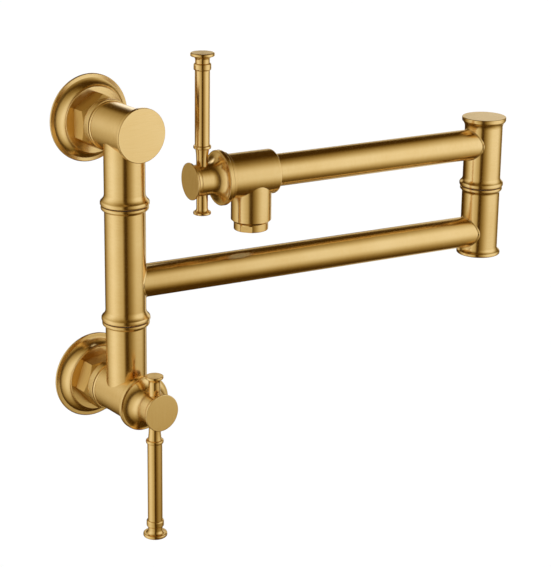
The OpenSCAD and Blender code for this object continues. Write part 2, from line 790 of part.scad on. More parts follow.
// Rubber seat at the back of the cartridge
module cartridge_seal() {
    color(rubber) translate([0, 0, -cartridge_len]) ring(cartridge_r - 0.1, disc_r - 2, seal_t);
}

// Ceramic disc with two quarter ports
module ported_disc() {
    difference() {
        cylinder(r = disc_r, h = disc_t);
        for (turn = [0, 180]) rotate([0, 0, turn]) translate([0, 0, -1]) linear_extrude(disc_t + 2)
            intersection() {
                difference() {
                    circle(r = disc_r - 1.3);
                    circle(r = 1.7);
                }
                translate([0.4, 0.4]) square([disc_r, disc_r]);
            }
    }
}

module fixed_disc() {
    color(ceramic) translate([0, 0, -cartridge_len + seal_t]) ported_disc();
}

module turning_disc() {
    color(ceramic) translate([0, 0, -cartridge_len + seal_t + disc_t + face_gap])
        rotate([0, 0, 90]) ported_disc();
}

// Stem: a flange that drives the turning disc, a shaft, and a splined end in the hub
module valve_stem() {
    stem_back = -cartridge_len + seal_t + 2 * disc_t + 2 * face_gap;
    stem_end = hub_gap + lever_h + lever_setback - hub_cap_t - 3.6;
    color(bare_brass) difference() {
        union() {
            translate([0, 0, stem_back]) cylinder(r = stem_flange_r, h = stem_flange_t);
            translate([0, 0, stem_back]) cylinder(r = stem_r, h = stem_end - stem_back);
        }
        for (tooth = [0:spline_teeth - 1]) rotate([0, 0, tooth * 360 / spline_teeth])
            translate([stem_r + 0.2, 0, stem_end - spline_len]) cylinder(r = spline_depth + 0.2, h = spline_len + 1, $fn = 16);
        translate([0, 0, stem_end - 9]) cylinder(r = screw_r + 0.02, h = 10);
    }
}

module stem_o_ring() {
    color(rubber) translate([0, 0, -5.5])
        rotate_extrude() translate([stem_r + run_fit + stem_o_ring_t / 2 - 0.04, 0])
            circle(r = stem_o_ring_t / 2 - 0.04, $fn = 48);
}

// ---------------------------------------------------------------- levers

// Hub, from the back of its trumpet flange: rim, concave sweep, neck and cap seat
module lever_hub() {
    flare_h = 8.6;
    seat_h = hub_len - hub_cap_t;
    color(gold) translate([0, 0, hub_gap]) difference() {
        rotate_extrude() {
            band_profile(flange_d / 2, flange_t, edge_round);
            translate([0, flange_t - 0.01]) flare_profile(flange_d / 2 - 1.6, neck_r, flare_h);
            square([neck_r, seat_h]);
        }
        translate([0, 0, -1]) cylinder(r = stem_r + seat_fit, h = hub_len);
        translate([0, 0, hub_len - hub_cap_t - screw_head_t - 1.4])
            cylinder(r = cap_spigot_r, h = screw_head_t + 3);
        translate([0, 0, lever_h]) rotate([0, 90, 0])
            cylinder(r = tenon_r + seat_fit, h = 2 * neck_r + 2, center = true);
        translate([0, 0, seat_h - 1.1]) ring(neck_r + 1, neck_r - 0.35, 0.45);
    }
}

// Flat faced cap pressed into the front of the hub over the screw
module hub_cap() {
    rim_t = 1.3;
    flare_h = hub_cap_t - rim_t;
    color(gold) translate([0, 0, hub_gap + hub_len - hub_cap_t]) {
        rotate_extrude() {
            translate([0, flare_h]) band_profile(hub_cap_d / 2, rim_t, 0.4);
            translate([0, flare_h + 0.4]) mirror([0, 1])
                flare_profile(hub_cap_d / 2 - 0.4, neck_r + 0.15, flare_h + 0.4);
        }
        translate([0, 0, -1]) cylinder(r = cap_spigot_r - seat_fit, h = 1.5);
    }
}

// Screw that holds the hub on the stem
module hub_screw() {
    head_base = hub_gap + hub_len - hub_cap_t - screw_head_t - 1.3;
    color(steel) translate([0, 0, head_base]) difference() {
        union() {
            cylinder(r = screw_head_r, h = screw_head_t);
            translate([0, 0, -8]) cylinder(r = screw_r, h = 8.5);
        }
        translate([0, 0, screw_head_t - 1.2]) cylinder(r = 1.5, h = 2, $fn = 6);
    }
}

// Tenon of a handle or stub, which passes through the wall of the hub
module lever_tenon() {
    tenon_h = neck_r - tenon_depth;
    rotate([0, 90, 0]) translate([0, 0, tenon_h]) cylinder(r = tenon_r, h = neck_r + 1 - tenon_h);
}

// Coped end where a handle or stub sits on the round neck of the hub
module on_hub_neck() {
    difference() {
        children();
        cylinder(r = neck_r + 0.05, h = 2 * handle_neck_d, center = true);
    }
}

// Handle: tenon, neck, bead, shaft, long bead and round foot, from the hub axis out
module lever_handle(len) {
    shaft_r = handle_d / 2;
    bead_r = bead_d / 2;
    neck = handle_neck_d / 2;
    taper_h = 14.4;
    bead_w = 2.6;
    long_bead_w = 5;
    long_bead_h = len - 12;
    foot_r = foot_d / 2;
    foot_t = 2.4;
    color(gold) {
        lever_tenon();
        on_hub_neck() rotate([0, 90, 0]) rotate_extrude() {
            translate([0, neck_r - 1.4]) square([neck, bead_h - neck_r + 1.4]);
            translate([0, bead_h]) mirror([0, 1]) flare_profile(shaft_r - 0.1, neck, bead_h - taper_h);
            translate([0, bead_h - bead_w / 2]) band_profile(bead_r, bead_w, 0.95);
            translate([0, bead_h]) square([shaft_r, long_bead_h - bead_h]);
            translate([0, long_bead_h]) square([shaft_r - 0.1, 9]);
            translate([0, long_bead_h]) band_profile(bead_r - 0.1, long_bead_w, 1.2);
            translate([0, len - foot_t + 0.3]) mirror([0, 1]) flare_profile(foot_r - 0.7, shaft_r - 0.1, 2.6);
            translate([0, len - foot_t]) band_profile(foot_r, foot_t, 0.8);
        }
    }
}

// Short stub on the other side of the hub, with a round button
module lever_stub() {
    neck = handle_neck_d / 2 - 0.1;
    button_r = button_d / 2;
    button_t = 1.9;
    button_h = stub_len - button_t;
    color(gold) mirror([1, 0, 0]) {
        lever_tenon();
        on_hub_neck() rotate([0, 90, 0]) rotate_extrude() {
            translate([0, neck_r - 1.4]) square([neck, button_h - neck_r + 1.6]);
            translate([0, button_h + 0.3]) mirror([0, 1]) flare_profile(button_r - 0.5, neck, 2.8);
            translate([0, button_h]) band_profile(button_r, button_t, 0.6);
        }
    }
}

// ---------------------------------------------------------------- pieces

module lower_wall_nipple() wall_nipple(0);
module upper_wall_nipple() wall_nipple(inlet_spacing);
module lower_escutcheon() escutcheon(0);
module upper_escutcheon() escutcheon(inlet_spacing);
module lower_union_nut() union_nut(0, -21);
module upper_union_nut() union_nut(inlet_spacing, 0);
module lower_union_gasket() union_gasket(0);
module upper_union_gasket() union_gasket(inlet_spacing);

module lower_cartridge() at_lower_valve() cartridge();
module lower_cartridge_seal() at_lower_valve() cartridge_seal();
module lower_fixed_disc() at_lower_valve() fixed_disc();
module lower_turning_disc() at_lower_valve() turning_disc();
module lower_valve_stem() at_lower_valve() valve_stem();
module lower_stem_o_ring() at_lower_valve() stem_o_ring();

// The lower handle hangs down from its hub
module on_lower_hub() {
    at_lower_valve() translate([0, 0, hub_gap + lever_h]) rotate([0, 0, -90]) children();
}

module lower_lever_hub() at_lower_valve() rotate([0, 0, 90]) lever_hub();
module lower_lever_handle() on_lower_hub() lever_handle(handle_len_down);
module lower_lever_stub() on_lower_hub() lever_stub();
module lower_hub_screw() at_lower_valve() hub_screw();
module lower_hub_cap() at_lower_valve() hub_cap();

module outlet_cartridge() at_outlet_valve() cartridge();
module outlet_cartridge_seal() at_outlet_valve() cartridge_seal();
module outlet_fixed_disc() at_outlet_valve() fixed_disc();
module outlet_turning_disc() at_outlet_valve() turning_disc();
module outlet_valve_stem() at_outlet_valve() valve_stem();
module outlet_stem_o_ring() at_outlet_valve() stem_o_ring();

// The upper handle stands up from its hub
module on_outlet_hub() {
    at_outlet_valve() translate([0, 0, hub_gap + lever_h]) rotate([0, 0, 180]) children();
}

module outlet_lever_hub() at_outlet_valve() lever_hub();
module outlet_lever_handle() on_outlet_hub() lever_handle(handle_len_up);
module outlet_lever_stub() on_outlet_hub() lever_stub();
module outlet_hub_screw() at_outlet_valve() hub_screw();
module outlet_hub_cap() at_outlet_valve() hub_cap();

lower_wall_nipple();
upper_wall_nipple();
lower_escutcheon();
upper_escutcheon();
lower_union_nut();
upper_union_nut();
lower_union_gasket();
upper_union_gasket();
lower_valve_body();
upper_column_body();
upper_end_cap();
column_spindle();
column_o_rings();
column_slip_rings();
lower_cartridge();
lower_cartridge_seal();
lower_fixed_disc();
lower_turning_disc();
lower_valve_stem();
lower_stem_o_ring();
lower_lever_hub();
lower_lever_handle();
lower_lever_stub();
lower_hub_screw();
lower_hub_cap();
column_sleeve();
first_arm_tube();
elbow_lower_barrel();
elbow_bottom_plug();
elbow_spindle();
elbow_o_rings();
elbow_slip_ring();
elbow_retaining_nut();
elbow_upper_barrel();
elbow_top_cap();
second_arm_tube();
outlet_body();
outlet_cartridge();
outlet_cartridge_seal();
outlet_fixed_disc();
outlet_turning_disc();
outlet_valve_stem();
outlet_stem_o_ring();
outlet_lever_hub();
outlet_lever_handle();
outlet_lever_stub();
outlet_hub_screw();
outlet_hub_cap();
aerator_ring();
aerator_washer();
aerator_insert();
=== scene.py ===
import math

import bpy
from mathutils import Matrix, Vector


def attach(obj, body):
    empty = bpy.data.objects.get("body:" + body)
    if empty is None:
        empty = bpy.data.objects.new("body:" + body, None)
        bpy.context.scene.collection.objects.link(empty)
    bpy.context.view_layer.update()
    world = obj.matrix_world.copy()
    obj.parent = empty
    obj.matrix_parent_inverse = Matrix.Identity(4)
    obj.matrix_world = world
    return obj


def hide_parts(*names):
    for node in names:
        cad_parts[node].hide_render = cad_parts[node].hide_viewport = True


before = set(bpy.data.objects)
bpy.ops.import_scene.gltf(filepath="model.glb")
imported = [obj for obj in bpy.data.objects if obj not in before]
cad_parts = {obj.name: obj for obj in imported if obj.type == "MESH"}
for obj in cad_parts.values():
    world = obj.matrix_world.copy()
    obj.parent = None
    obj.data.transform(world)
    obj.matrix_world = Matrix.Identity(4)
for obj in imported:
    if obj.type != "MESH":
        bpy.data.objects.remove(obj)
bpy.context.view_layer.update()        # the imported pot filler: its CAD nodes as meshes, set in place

# ---------------------------------------------------------------------------
# Camera
# A long lens from the front left, a little above the tap, with the film shifted
# across and down as on a view camera.
# ---------------------------------------------------------------------------
CAMERA_PLACE = (-0.58948, -0.97446, 0.44638)
CAMERA_TURN = (74.4695, -0.4432, -36.2568)      # degrees about x, y and z
FILM_WIDTH = 36
LENS_LENGTH = 111.186
FILM_SHIFT = (0.06606, -0.15684)

bpy.ops.object.camera_add(location=CAMERA_PLACE,
                          rotation=[math.radians(turn) for turn in CAMERA_TURN])
camera = bpy.context.object
camera.name = "camera"
camera.data.sensor_fit = "HORIZONTAL"
camera.data.sensor_width = FILM_WIDTH
camera.data.lens = LENS_LENGTH
camera.data.shift_x, camera.data.shift_y = FILM_SHIFT
camera.data.dof.use_dof = False
bpy.context.scene.camera = camera
bpy.context.scene.view_settings.view_transform = "Standard"


# ---------------------------------------------------------------------------
# Light tent
# A round tent of white cloth close about the tap, mirrored in it and never seen. Each
# side has a large soft light with a window in it, and three sheets of pale paper and a
# small white card hang behind the tap.
# ---------------------------------------------------------------------------
def add_node(tree, kind, **settings):
    """A shader node; inputs given by name or number in `inputs` are set or linked."""
    inputs = settings.pop("inputs", {})
    node = tree.nodes.new(kind)
    for key, value in settings.items():
        setattr(node, key, value)
    for key, value in inputs.items():
        if isinstance(value, bpy.types.NodeSocket):
            tree.links.new(value, node.inputs[key])
        else:
            node.inputs[key].default_value = value
    return node


def math_node(tree, operation, first, second=0.0, third=0.0):
    """One sum of up to three numbers."""
    node = add_node(tree, "ShaderNodeMath", operation=operation,
                    inputs={0: first, 1: second, 2: third})
    return node.outputs[0]


def vector_node(tree, operation, first, second=(0.0, 0.0, 0.0)):
    """One sum of two directions or places."""
    node = add_node(tree, "ShaderNodeVectorMath", operation=operation,
                    inputs={0: first, 1: second})
    return node.outputs["Value" if operation in ("DOT_PRODUCT", "LENGTH") else "Vector"]


def ramp_between(tree, value, low, high, from_level=0.0, to_level=1.0):
    """A smooth step of the value from one level to another."""
    node = add_node(tree, "ShaderNodeMapRange", interpolation_type="SMOOTHSTEP",
                    inputs={"Value": value, "From Min": low, "From Max": high,
                            "To Min": from_level, "To Max": to_level})
    return node.outputs[0]


def glowing_finish(name):
    """An empty finish for a thing that only gives light."""
    finish = bpy.data.materials.new(name)
    finish.use_nodes = True
    finish.node_tree.nodes.clear()
    finish.cycles.emission_sampling = "NONE"
    return finish, finish.node_tree


def only_mirrored(thing):
    """The metal mirrors the thing, which is not seen itself and throws no shadow."""
    for ray in ("camera", "diffuse", "shadow", "transmission"):
        setattr(thing, "visible_" + ray, False)


TENT_MIDDLE = Vector((0.12, -0.06, 0.09))
TENT_RADIUS = 0.8
CLOTH_LEVEL = 0.06                 # how bright the cloth is between the lights
CLOTH_WARMTH = (1.25, 1.98)        # how much faster green and blue fall off than red
# Lights on the cloth, in degrees of turn (0 is into the room, 90 is right) and of
# height: where each begins, is full, begins to fade and is gone; then its brightness.
TENT_LIGHTS = (
    ("left_softbox", (-190, -100, -105, -50), (-95, -20, 0, 95), 0.42),
    ("left_window", (-190, -100, -56, -41), (-95, -20, 0, 95), 0.56),
    ("left_back_paper", (-179, -164, -128, -92), (-12, 22, 45, 80), 0.22),
    ("right_softbox", (-36, 32, 56, 104), (-68, 0, 20, 76), 0.84),
    ("right_window", (-33, -22, 56, 104), (-55, 0, 14, 90), 0.14),
    ("back_paper", (96, 116, 124, 140), (-60, -30, 17, 36), 0.78),
    ("cap_paper", (126, 140, 160, 178), (3, 13, 17, 34), 0.72),
)

bpy.ops.object.select_all(action="DESELECT")
bpy.ops.mesh.primitive_uv_sphere_add(segments=96, ring_count=48, radius=TENT_RADIUS,
                                     location=TENT_MIDDLE)
tent = bpy.context.object
tent.name = "light_tent"
bpy.ops.object.transform_apply(location=True, rotation=False, scale=False)
only_mirrored(tent)

tent_cloth, cloth_tree = glowing_finish("tent_cloth")
cloth_place = add_node(cloth_tree, "ShaderNodeTexCoord").outputs["Object"]
looking = vector_node(cloth_tree, "NORMALIZE",
                      vector_node(cloth_tree, "SUBTRACT", cloth_place, TENT_MIDDLE))
compass = add_node(cloth_tree, "ShaderNodeSeparateXYZ", inputs={0: looking})
side, depth, rise = compass.outputs
into_room = math_node(cloth_tree, "MULTIPLY", depth, -1.0)
cloth_turn = math_node(cloth_tree, "ARCTAN2", side, into_room)
cloth_height = math_node(cloth_tree, "ARCSINE", rise)


def soft_band(value, begins, full, fades, gone):
    """How much of a light is there at this turn or height of the cloth."""
    begins, full, fades, gone = (math.radians(turn) for turn in (begins, full, fades, gone))
    rising = ramp_between(cloth_tree, value, begins, full)
    falling = ramp_between(cloth_tree, value, fades, gone, 1.0, 0.0)
    return math_node(cloth_tree, "MULTIPLY", rising, falling)


level = CLOTH_LEVEL
for light_name, turns, heights, brightness in TENT_LIGHTS:
    share = math_node(cloth_tree, "MULTIPLY", soft_band(cloth_turn, *turns),
                      soft_band(cloth_height, *heights))
    level = math_node(cloth_tree, "MULTIPLY_ADD", share, brightness, level)
    level.node.name = light_name
green, blue = (math_node(cloth_tree, "POWER", level, power) for power in CLOTH_WARMTH)
warm = add_node(cloth_tree, "ShaderNodeCombineColor", inputs={0: level, 1: green, 2: blue})
cloth_glow = add_node(cloth_tree, "ShaderNodeEmission", inputs={
    "Color": warm.outputs[0], "Strength": 1.0})
add_node(cloth_tree, "ShaderNodeOutputMaterial", inputs={"Surface": cloth_glow.outputs[0]})
tent.data.materials.append(tent_cloth)

CARD_PLACE = Vector((0.078, 0.060, 0.226))
CARD_AIM = Vector((0.0, -0.035, 0.20))
CARD_WIDTH = 0.094
CARD_FULL, CARD_GONE = 0.008, 0.046      # reach of the bright middle, and of the soft rim
CARD_LEVEL = 1.5
card_turn = (CARD_AIM - CARD_PLACE).to_track_quat("Z", "Y").to_euler()
bpy.ops.object.select_all(action="DESELECT")
bpy.ops.mesh.primitive_plane_add(size=CARD_WIDTH, location=CARD_PLACE, rotation=card_turn)
card = bpy.context.object
card.name = "white_card"
only_mirrored(card)

card_white, card_tree = glowing_finish("card_white")
card_spot = add_node(card_tree, "ShaderNodeTexCoord").outputs["Object"]
card_reach = vector_node(card_tree, "LENGTH", card_spot)
card_share = ramp_between(card_tree, card_reach, CARD_FULL, CARD_GONE, 1.0, 0.0)
card_glow = add_node(card_tree, "ShaderNodeEmission", inputs={
    "Color": (1.0, 1.0, 1.0, 1.0), "Strength": CARD_LEVEL})
card_clear = add_node(card_tree, "ShaderNodeBsdfTransparent")
card_mix = add_node(card_tree, "ShaderNodeMixShader", inputs={
    0: card_share, 1: card_clear.outputs[0], 2: card_glow.outputs[0]})
add_node(card_tree, "ShaderNodeOutputMaterial", inputs={"Surface": card_mix.outputs[0]})
card.data.materials.append(card_white)


# ---------------------------------------------------------------------------
# Room and floor
# An even white room, and a plain pale floor well under the tap, which the metal
# doesn't mirror.
# ---------------------------------------------------------------------------
ROOM_LEVEL = 1.07
FLOOR_RADIUS = 9.0
FLOOR_HEIGHT = -0.9

room = bpy.data.worlds.new("white_room")
bpy.context.scene.world = room
room.use_nodes = True
room_light = room.node_tree.nodes["Background"]
room_light.inputs["Color"].default_value = (1.0, 1.0, 1.0, 1.0)
room_light.inputs["Strength"].default_value = ROOM_LEVEL

bpy.ops.mesh.primitive_circle_add(vertices=96, radius=FLOOR_RADIUS, fill_type="NGON",
                                  location=(0.0, 0.0, FLOOR_HEIGHT))
floor = bpy.context.object
floor.name = "floor"
floor.visible_glossy = False
bpy.ops.object.transform_apply(location=True, rotation=False, scale=False)
pale_paint = bpy.data.materials.new("pale_floor")
pale_paint.use_nodes = True
paint_shader = pale_paint.node_tree.nodes["Principled BSDF"]
paint_shader.inputs["Base Color"].default_value = (0.95, 0.95, 0.95, 1.0)
paint_shader.inputs["Roughness"].default_value = 0.9
floor.data.materials.append(pale_paint)


# ---------------------------------------------------------------------------
# Wall nipples
# Two brass nipples, turned and bored from bar and left bare. A pipe thread screws
# into the fitting in the wall, and a wider thread in front carries the union nut.
# ---------------------------------------------------------------------------
STREAKS_ACROSS = 3400.0              # streaks of the brush in a metre across them
STREAKS_ROUND = 2.2                  # changes of a streak on its way round a tube
STREAK_SHARE, CLOUD_SHARE = 0.6, 0.4      # parts of streaks and of clouds in the tone
STREAK_RELIEF, STREAK_HEIGHT = 0.12, 0.00004
CLOUDS = 38.0                        # cloudy changes of tone in a metre
# A metal is its dark and light tones, then its polish: the roughness between the
# streaks and on them, and how far a mirrored light is drawn out across them.
BARE_BRASS = (((0.66, 0.48, 0.22), (0.78, 0.60, 0.32)), (0.2, 0.34, 0.5))

INLET_SPACING = 0.187                # between the two wall fittings
SAME_PLACE = 0.000001                # points closer than this are made one
LATHE_STEPS, THREAD_STEPS = 96, 48
THREAD_PITCH = 0.001814              # 14 turns to the inch
THREAD_DEPTH = 0.00116
ROOT_HALF, CREST_HALF = 0.00084, 0.00018      # half the width of a ridge at root and crest
THREAD_BITE = 0.0004                 # how far a ridge reaches into the metal under it
PIPE_START, PIPE_TURNS = 0.0005, 9
UNION_START, UNION_TURNS = -0.0174, 5
PIPE_CREST, UNION_CREST = 0.010475, 0.0132
PIPE_ROOT, UNION_ROOT = PIPE_CREST - THREAD_DEPTH, UNION_CREST - THREAD_DEPTH
BORE = 0.007
WALL_END, SHOULDER, NUT_END = 0.016, -0.005, -0.01615
SPARE = 0.001                        # metal left on the blank, and width of a chamfer
CREST_SPARE = SPARE / 9              # metal left on the threads


def new_finish(name):
    """A finish with its nodes, its shader and the place of each point on the piece."""
    finish = bpy.data.materials.new(name)
    finish.use_nodes = True
    tree = finish.node_tree
    return finish, tree, tree.nodes["Principled BSDF"], add_node(tree, "ShaderNodeTexCoord")


def scaled(tree, vector, scale):
    """A direction or place made longer or shorter."""
    node = add_node(tree, "ShaderNodeVectorMath", operation="SCALE",
                    inputs={0: vector, "Scale": scale})
    return node.outputs[0]


def around(tree, place, centre, axis):
    """Brushing round an axis: the tangent, the place on the streaks, the radius."""
    axis = Vector(axis).normalized()
    offset = vector_node(tree, "SUBTRACT", place.outputs["Object"], centre)
    along = vector_node(tree, "DOT_PRODUCT", offset, axis)
    across = vector_node(tree, "SUBTRACT", offset, scaled(tree, axis, along))
    radius = vector_node(tree, "LENGTH", across)
    outward = vector_node(tree, "NORMALIZE", across)
    circling = vector_node(tree, "CROSS_PRODUCT", axis, outward)
    tangent = vector_node(tree, "CROSS_PRODUCT", circling, place.outputs["Normal"])
    line = math_node(tree, "MULTIPLY", math_node(tree, "ADD", along, radius), STREAKS_ACROSS)
    streaks = vector_node(tree, "ADD", scaled(tree, outward, STREAKS_ROUND),
                          scaled(tree, axis, line))
    return tangent, streaks, radius


def brush_metal(tree, shader, place, tangent, streaks, tones, polish):
    """Metal with fine streaks in tone, roughness and relief, blurred across them."""
    dark, light = tones
    smooth, rough, draw = polish
    fine = add_node(tree, "ShaderNodeTexNoise", inputs={
        "Vector": streaks, "Scale": 1.0, "Detail": 2.0, "Roughness": 0.6}).outputs[0]
    cloud = add_node(tree, "ShaderNodeTexNoise", inputs={
        "Vector": place.outputs["Object"], "Scale": CLOUDS, "Detail": 2.0}).outputs[0]
    tone = math_node(tree, "ADD", math_node(tree, "MULTIPLY", fine, STREAK_SHARE),
                     math_node(tree, "MULTIPLY", cloud, CLOUD_SHARE))
    colour = add_node(tree, "ShaderNodeMix", data_type="RGBA", inputs={
        0: ramp_between(tree, tone, 0.3, 0.7), 6: (*dark, 1.0), 7: (*light, 1.0)}).outputs[2]
    turned = add_node(tree, "ShaderNodeVectorTransform", vector_type="VECTOR",
                      convert_from="OBJECT", convert_to="WORLD", inputs={0: tangent}).outputs[0]
    tree.links.new(colour, shader.inputs["Base Color"])
    tree.links.new(ramp_between(tree, fine, 0.25, 0.75, smooth, rough),
                   shader.inputs["Roughness"])
    tree.links.new(vector_node(tree, "NORMALIZE", turned), shader.inputs["Tangent"])
    shader.inputs["Metallic"].default_value = 1.0
    shader.inputs["Anisotropic"].default_value = draw
    bump = add_node(tree, "ShaderNodeBump", inputs={
        "Strength": STREAK_RELIEF, "Distance": STREAK_HEIGHT, "Height": fine})
    tree.links.new(bump.outputs[0], shader.inputs["Normal"])


def turned_metal(name, line, tones, polish):
    """Metal brushed or polished round a line, given as a point on it and its way."""
    finish, tree, shader, place = new_finish(name)
    tangent, streaks, radius = around(tree, place, *line)
    brush_metal(tree, shader, place, tangent, streaks, tones, polish)
    return finish


def join_points(distance):
    """Points of the mesh in hand that are closer than this are made one."""
    bpy.ops.mesh.select_all(action="SELECT")
    bpy.ops.mesh.remove_doubles(threshold=distance)


def draw_outline(name, points):
    """A closed line through points (reach from the axis, place along the axis)."""
    bpy.ops.object.select_all(action="DESELECT")
    bpy.ops.mesh.primitive_plane_add(size=0.001, location=(0.0, 0.0, 0.0))
    outline = bpy.context.object
    outline.name = name
    bpy.ops.object.mode_set(mode="EDIT")
    bpy.ops.mesh.select_all(action="SELECT")
    bpy.ops.mesh.merge(type="CENTER")
    bpy.ops.transform.translate(value=(*points[0], 0.0))
    for before, point in zip(points, points[1:] + points[:1]):
        step = (point[0] - before[0], point[1] - before[1], 0.0)
        bpy.ops.mesh.extrude_region_move(TRANSFORM_OT_translate={"value": step})
    join_points(SAME_PLACE)
    bpy.ops.object.mode_set(mode="OBJECT")
    return outline


def turn_blank(name, points):
    """A closed outline spun once round the axis of the nipple, as on a lathe."""
    blank = draw_outline(name, points)
    bpy.ops.object.mode_set(mode="EDIT")
    bpy.ops.mesh.select_all(action="SELECT")
    bpy.ops.mesh.spin(steps=LATHE_STEPS, angle=math.tau, center=(0.0, 0.0, 0.0),
                      axis=(0.0, 1.0, 0.0))
    join_points(SAME_PLACE)
    bpy.ops.mesh.normals_make_consistent(inside=False)
    bpy.ops.object.mode_set(mode="OBJECT")
    return blank


def thread_ridge(name, crest, start, turns):
    """One right-hand pipe thread as a ridge with sloping flanks and a blunt crest."""
    root = crest - THREAD_DEPTH
    section = [(root - THREAD_BITE, -ROOT_HALF), (root, -ROOT_HALF), (crest, -CREST_HALF),
               (crest, CREST_HALF), (root, ROOT_HALF), (root - THREAD_BITE, ROOT_HALF)]
    ridge = draw_outline(name, [(reach, start + along) for reach, along in section])
    bpy.ops.object.modifier_add(type="SCREW")
    screw = ridge.modifiers[-1]
    screw.axis = "Y"
    screw.angle = math.tau
    screw.screw_offset = THREAD_PITCH
    screw.iterations = turns
    screw.steps = screw.render_steps = THREAD_STEPS
    screw.use_merge_vertices = False
    bpy.ops.object.modifier_apply(modifier=screw.name)
    bpy.ops.object.mode_set(mode="EDIT")
    join_points(SAME_PLACE)
    bpy.ops.mesh.select_all(action="DESELECT")
    bpy.ops.mesh.select_non_manifold()
    bpy.ops.mesh.fill_holes(sides=0)
    bpy.ops.mesh.select_all(action="SELECT")
    bpy.ops.mesh.normals_make_consistent(inside=False)
    bpy.ops.object.mode_set(mode="OBJECT")
    return ridge


def combine(target, tool, operation):
    """Join, cut or trim one mesh with another, which is then thrown away."""
    bpy.ops.object.select_all(action="DESELECT")
    target.select_set(True)
    bpy.context.view_layer.objects.active = target
    bpy.ops.object.modifier_add(type="BOOLEAN")
    cut = target.modifiers[-1]
    cut.object, cut.operation, cut.solver = tool, operation, "MANIFOLD"
    bpy.ops.object.modifier_apply(modifier=cut.name)
    bpy.data.objects.remove(tool)


# The blank, from the wall end: root of the pipe thread, its run-out up to the plain
# middle, the step at the shoulder, and the run-out down to the root of the union thread.
nipple = turn_blank("lower_threaded_nipple", [
    (BORE - SPARE, WALL_END + SPARE), (PIPE_ROOT, WALL_END + SPARE), (PIPE_ROOT, 0.0003),
    (PIPE_CREST + SPARE, -0.0018), (PIPE_CREST + SPARE, -0.0034),
    (UNION_CREST + SPARE, -0.0036), (UNION_CREST + SPARE, -0.0055), (UNION_ROOT, -0.0072),
    (UNION_ROOT, NUT_END - SPARE), (BORE - SPARE, NUT_END - SPARE)])
pipe_ridge = thread_ridge("pipe_ridge", PIPE_CREST + CREST_SPARE, PIPE_START, PIPE_TURNS)
combine(nipple, pipe_ridge, "UNION")
union_ridge = thread_ridge("union_ridge", UNION_CREST + CREST_SPARE, UNION_START, UNION_TURNS)
combine(nipple, union_ridge, "UNION")
finished_size = turn_blank("finished_size", [
    (BORE, WALL_END), (PIPE_CREST - SPARE, WALL_END), (PIPE_CREST, WALL_END - SPARE),
    (PIPE_CREST, SHOULDER), (UNION_CREST, SHOULDER), (UNION_CREST, NUT_END + SPARE),
    (UNION_CREST - SPARE, NUT_END), (BORE, NUT_END)])
combine(nipple, finished_size, "INTERSECT")
bpy.ops.object.shade_smooth_by_angle(angle=math.radians(35))

bpy.ops.object.duplicate()
upper_nipple = bpy.context.object
upper_nipple.name = "upper_threaded_nipple"
upper_nipple.location.z = INLET_SPACING
bpy.ops.object.transform_apply(location=True, rotation=False, scale=False)

lower_line = ((0.0, 0.0, 0.0), (0.0, 1.0, 0.0))
upper_line = ((0.0, 0.0, INLET_SPACING), (0.0, 1.0, 0.0))
for piece, name, line in ((nipple, "lower", lower_line), (upper_nipple, "upper", upper_line)):
    piece.data.materials.clear()
    piece.data.materials.append(turned_metal(name + "_brass", line, *BARE_BRASS))
    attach(piece, "root")
    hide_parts(name + "_wall_nipple")


# ---------------------------------------------------------------------------
# Escutcheons
# Spun brass dishes brushed round, then plated gold. Each slips over its nipple and
# lies flat against the wall.
# ---------------------------------------------------------------------------
def dress(finish, *names):
    """Give a finish to the named pieces."""
    for name in names:
        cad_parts[name].data.materials[0] = finish


GOLD_TONES = ((0.79, 0.55, 0.225), (0.85, 0.625, 0.29))
GOLD_POLISH = (0.17, 0.25, 0.6)
BRUSHED_GOLD = (GOLD_TONES, GOLD_POLISH)

lower_gold = turned_metal("lower_gold", lower_line, *BRUSHED_GOLD)
dress(lower_gold, "lower_escutcheon")
dress(turned_metal("upper_gold", upper_line, *BRUSHED_GOLD), "upper_escutcheon")


# ---------------------------------------------------------------------------
# Union nuts and gaskets
# Hexagon nuts milled from brass bar, with satin flats under deep gold plate. Each
# pulls its column body against a black rubber gasket on the nipple.
# ---------------------------------------------------------------------------
MILLED_GOLD = (((0.80, 0.50, 0.145), (0.86, 0.57, 0.19)), (0.36, 0.44, 0.95))
GRAINS = 900.0                       # grains in a metre
GRAIN_RELIEF, GRAIN_HEIGHT = 0.3, 0.00005


def moulded(name, dark, light):
    """A dull, fine grained finish, as on moulded or fired pieces."""
    finish, tree, shader, place = new_finish(name)
    grain = add_node(tree, "ShaderNodeTexNoise", inputs={
        "Vector": place.outputs["Object"], "Scale": GRAINS, "Detail": 3.0}).outputs[0]
    colour = add_node(tree, "ShaderNodeMix", data_type="RGBA", inputs={
        0: grain, 6: (*dark, 1.0), 7: (*light, 1.0)}).outputs[2]
    tree.links.new(colour, shader.inputs["Base Color"])
    tree.links.new(ramp_between(tree, grain, 0.3, 0.7, 0.5, 0.7), shader.inputs["Roughness"])
    bump = add_node(tree, "ShaderNodeBump", inputs={
        "Strength": GRAIN_RELIEF, "Distance": GRAIN_HEIGHT, "Height": grain})
    tree.links.new(bump.outputs[0], shader.inputs["Normal"])
    return finish


black_rubber = moulded("black_rubber", (0.012, 0.012, 0.012), (0.03, 0.03, 0.03))
dress(turned_metal("lower_nut_gold", lower_line, *MILLED_GOLD), "lower_union_nut")
dress(turned_metal("upper_nut_gold", upper_line, *MILLED_GOLD), "upper_union_nut")
dress(black_rubber, "lower_union_gasket", "upper_union_gasket")


